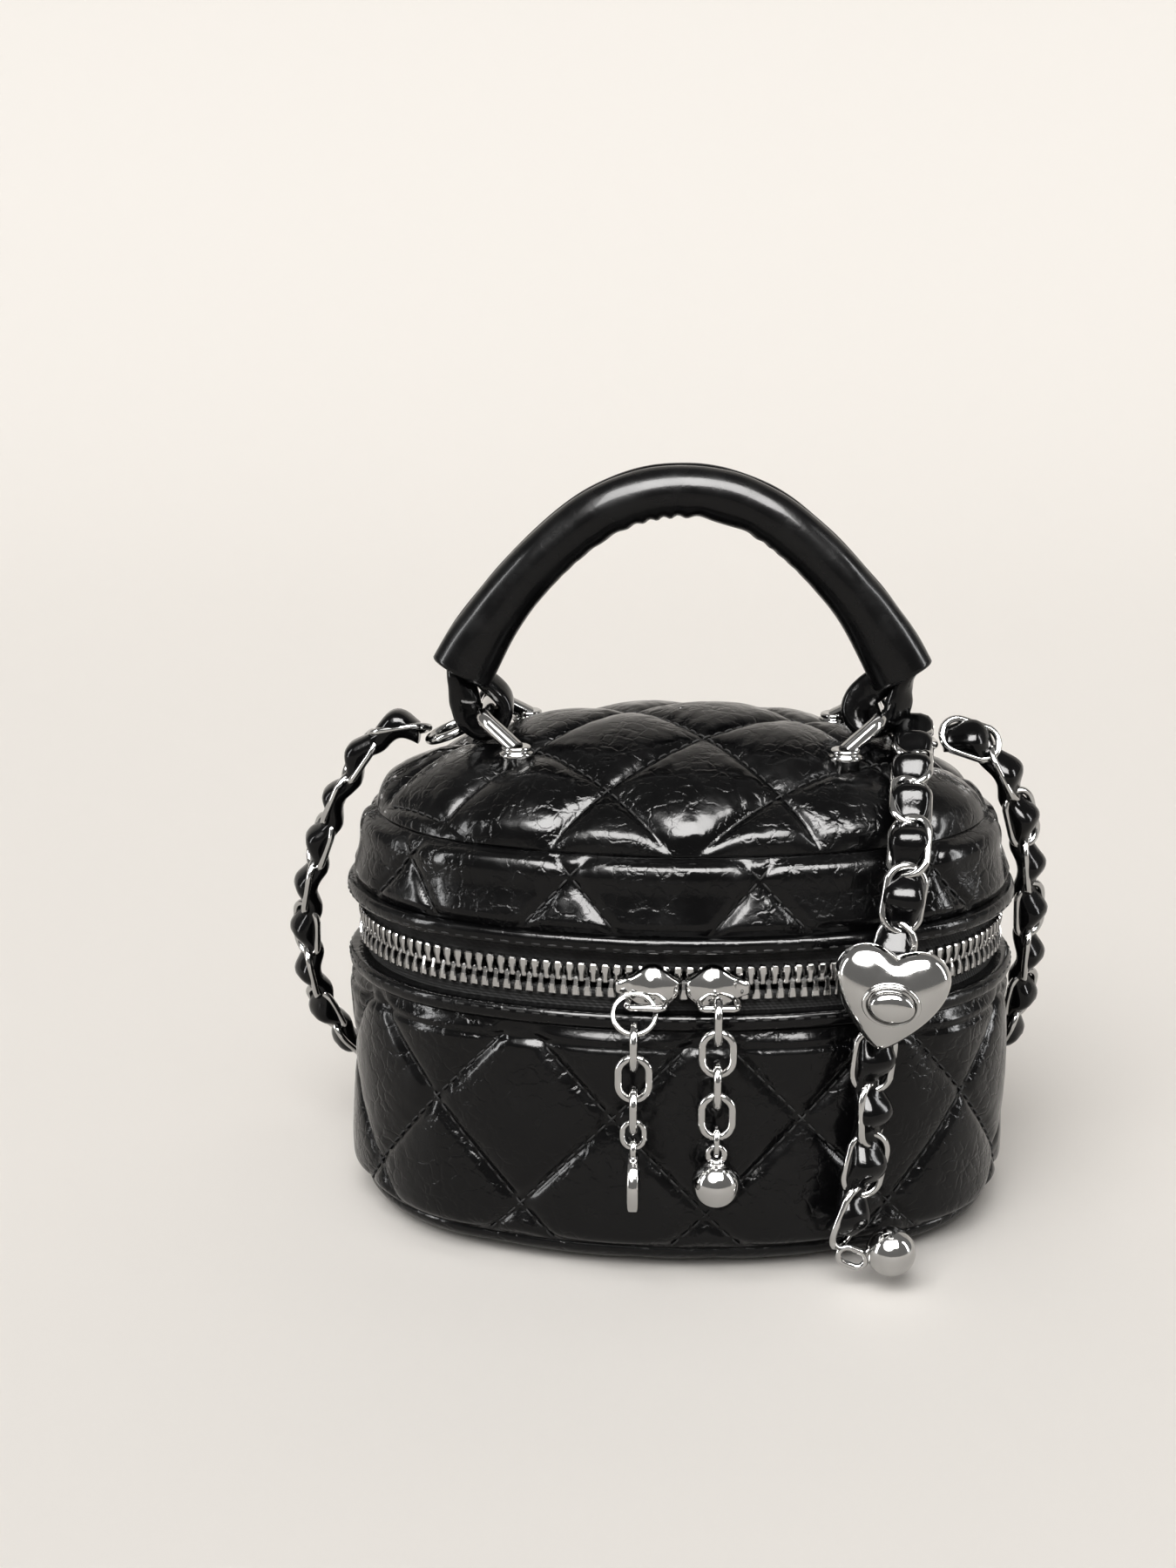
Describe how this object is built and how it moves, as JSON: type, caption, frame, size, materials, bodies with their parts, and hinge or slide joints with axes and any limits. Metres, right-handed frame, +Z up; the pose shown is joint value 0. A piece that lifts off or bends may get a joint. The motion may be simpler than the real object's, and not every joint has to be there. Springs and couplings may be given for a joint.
{
  "type": "quilted vanity case crossbody bag",
  "caption": "Small oval quilted vanity-case bag with a rolled top handle, domed hinged lid, two-way metal zip with charm pulls and a leather-and-chain shoulder strap with a heart slide.",
  "frame": {"origin": "middle of the flat underside of the case, on the surface it stands on", "axes": "+Z up, -Y towards the front with the zip pulls, +X to the right seen from the front"},
  "size_m": [0.157, 0.208, 0.1453],
  "materials": {
    "quilted_leather": "black crinkled patent leather, diamond quilted",
    "smooth_leather": "black patent leather",
    "strap_leather": "black patent leather strip woven through a polished curb chain",
    "board": "stiff fibre board",
    "lining": "black woven lining",
    "tape": "black woven tape",
    "screw_steel": "plain steel",
    "zip_metal": "polished nickel",
    "polished_metal": "polished nickel plating"
  },
  "bodies": {
    "case": {"bottom_panel": "quilted_leather", "base_side_band": "quilted_leather", "base_rim_binding": "smooth_leather", "base_stiffener": "board", "base_lining": "lining", "bottom_board": "board", "zip_tape_lower": "tape", "hinge_strip_lower": "quilted_leather", "zip_teeth_lower": "zip_metal", "strap_left_lower": "strap_leather", "strap_right_lower": "strap_leather", "strap_coil": "strap_leather"},
    "handle": {"handle_grip": "smooth_leather", "handle_core_cords": "tape", "handle_loop_left": "smooth_leather", "handle_loop_right": "smooth_leather"},
    "slider_left": {"slider_left_body": "polished_metal", "slider_left_bail": "polished_metal"},
    "slider_right": {"slider_right_body": "polished_metal", "slider_right_bail": "polished_metal"},
    "pull_left_jump_ring": {"pull_left_jump_ring": "polished_metal"},
    "pull_left_link_1": {"pull_left_link_1": "polished_metal"},
    "pull_left_link_2": {"pull_left_link_2": "polished_metal"},
    "pull_left_link_3": {"pull_left_link_3": "polished_metal"},
    "pull_left_small_ring": {"pull_left_small_ring": "polished_metal"},
    "pull_left_coin": {"pull_left_coin": "polished_metal"},
    "pull_right_link_1": {"pull_right_link_1": "polished_metal"},
    "pull_right_link_2": {"pull_right_link_2": "polished_metal"},
    "pull_right_link_3": {"pull_right_link_3": "polished_metal"},
    "pull_right_link_4": {"pull_right_link_4": "polished_metal"},
    "pull_right_small_ring": {"pull_right_small_ring": "polished_metal"},
    "pull_right_ball": {"pull_right_ball": "polished_metal"},
    "hanging_strap": {"strap_tail_lower": "strap_leather", "tail_end_link": "polished_metal", "tail_ball": "polished_metal"},
    "heart_slide": {"heart_back_plate": "polished_metal", "heart_front_shell": "polished_metal", "heart_collar": "polished_metal", "heart_keeper": "polished_metal"},
    "heart_knob": {"heart_knob": "polished_metal"},
    "lid": {"bridge_collars": "polished_metal", "bridge_left": "polished_metal", "bridge_right": "polished_metal", "bridge_screws": "screw_steel", "hinge_strip_upper": "quilted_leather", "lid_lining": "lining", "lid_rim_binding": "smooth_leather", "lid_side_band": "quilted_leather", "lid_stiffener": "board", "lid_top_panel": "quilted_leather", "ring_tab_left": "smooth_leather", "ring_tab_right": "smooth_leather", "strap_left_upper": "strap_leather", "strap_right_upper": "strap_leather", "strap_ring_left": "polished_metal", "strap_ring_right": "polished_metal", "strap_tail_upper": "strap_leather", "zip_tape_upper": "tape", "zip_teeth_upper": "zip_metal"}
  },
  "joints": [
    {"name": "lid_hinge", "type": "hinge", "parent": "case", "child": "lid", "pos_m": [0, 0.0456, 0.057], "axis": [-1, 0, 0], "range_deg": [0, 95]},
    {"name": "handle_swing", "type": "hinge", "parent": "lid", "child": "handle", "pos_m": [0, 0, 0.0855], "axis": [1, 0, 0], "range_deg": [-15, 4]},
    {"name": "slider_left_travel", "type": "hinge", "parent": "case", "child": "slider_left", "pos_m": [0, 0.06, 0.0567], "axis": [0, 0, 1], "range_deg": [-16, 0]},
    {"name": "slider_right_travel", "type": "hinge", "parent": "case", "child": "slider_right", "pos_m": [0, 0.06, 0.0567], "axis": [0, 0, 1], "range_deg": [0, 5.5]},
    {"name": "pull_left_jump_ring_swing", "type": "hinge", "parent": "slider_left", "child": "pull_left_jump_ring", "pos_m": [-0.00775, -0.04618, 0.05627], "axis": [-1, 0, 0], "range_deg": [0, 10]},
    {"name": "pull_left_link_1_swing", "type": "hinge", "parent": "pull_left_jump_ring", "child": "pull_left_link_1", "pos_m": [-0.00775, -0.05127, 0.04974], "axis": [-1, 0, 0], "range_deg": [0, 25]},
    {"name": "pull_left_link_2_swing", "type": "hinge", "parent": "pull_left_link_1", "child": "pull_left_link_2", "pos_m": [-0.00775, -0.05106, 0.04342], "axis": [0, 1, 0], "range_deg": [-10, 10]},
    {"name": "pull_left_link_3_swing", "type": "hinge", "parent": "pull_left_link_2", "child": "pull_left_link_3", "pos_m": [-0.00775, -0.05106, 0.03742], "axis": [-1, 0, 0], "range_deg": [0, 25]},
    {"name": "pull_left_small_ring_swing", "type": "hinge", "parent": "pull_left_link_3", "child": "pull_left_small_ring", "pos_m": [-0.00775, -0.05106, 0.03142], "axis": [0, 1, 0], "range_deg": [-10, 10]},
    {"name": "pull_left_coin_swing", "type": "hinge", "parent": "pull_left_small_ring", "child": "pull_left_coin", "pos_m": [-0.00775, -0.05106, 0.0282], "axis": [-1, 0, 0], "range_deg": [0, 30]},
    {"name": "pull_right_link_1_swing", "type": "hinge", "parent": "slider_right", "child": "pull_right_link_1", "pos_m": [0.00725, -0.05004, 0.0545], "axis": [-1, 0, 0], "range_deg": [0, 20]},
    {"name": "pull_right_link_2_swing", "type": "hinge", "parent": "pull_right_link_1", "child": "pull_right_link_2", "pos_m": [0.00725, -0.05045, 0.04816], "axis": [0, 1, 0], "range_deg": [-10, 10]},
    {"name": "pull_right_link_3_swing", "type": "hinge", "parent": "pull_right_link_2", "child": "pull_right_link_3", "pos_m": [0.00725, -0.05045, 0.04216], "axis": [-1, 0, 0], "range_deg": [0, 25]},
    {"name": "pull_right_link_4_swing", "type": "hinge", "parent": "pull_right_link_3", "child": "pull_right_link_4", "pos_m": [0.00725, -0.05045, 0.03616], "axis": [0, 1, 0], "range_deg": [-10, 10]},
    {"name": "pull_right_small_ring_swing", "type": "hinge", "parent": "pull_right_link_4", "child": "pull_right_small_ring", "pos_m": [0.00725, -0.05045, 0.03016], "axis": [-1, 0, 0], "range_deg": [0, 25]},
    {"name": "pull_right_ball_swing", "type": "hinge", "parent": "pull_right_small_ring", "child": "pull_right_ball", "pos_m": [0.00725, -0.05045, 0.02694], "axis": [0, 1, 0], "range_deg": [-12, 12]},
    {"name": "hanging_strap_swing", "type": "hinge", "parent": "lid", "child": "hanging_strap", "pos_m": [0.0414, -0.03891, 0.08696], "axis": [-1, 0, 0], "range_deg": [0, 60]},
    {"name": "heart_slide_travel", "type": "slide", "parent": "hanging_strap", "child": "heart_slide", "axis": [0.1596, 0, 0.9872], "range_m": [-0.004, 0.005]},
    {"name": "heart_knob_turn", "type": "hinge", "parent": "heart_slide", "child": "heart_knob", "pos_m": [0.0374, -0.054, 0.0574], "axis": [0, -1, 0], "range_deg": [0, 90]}
  ]
}
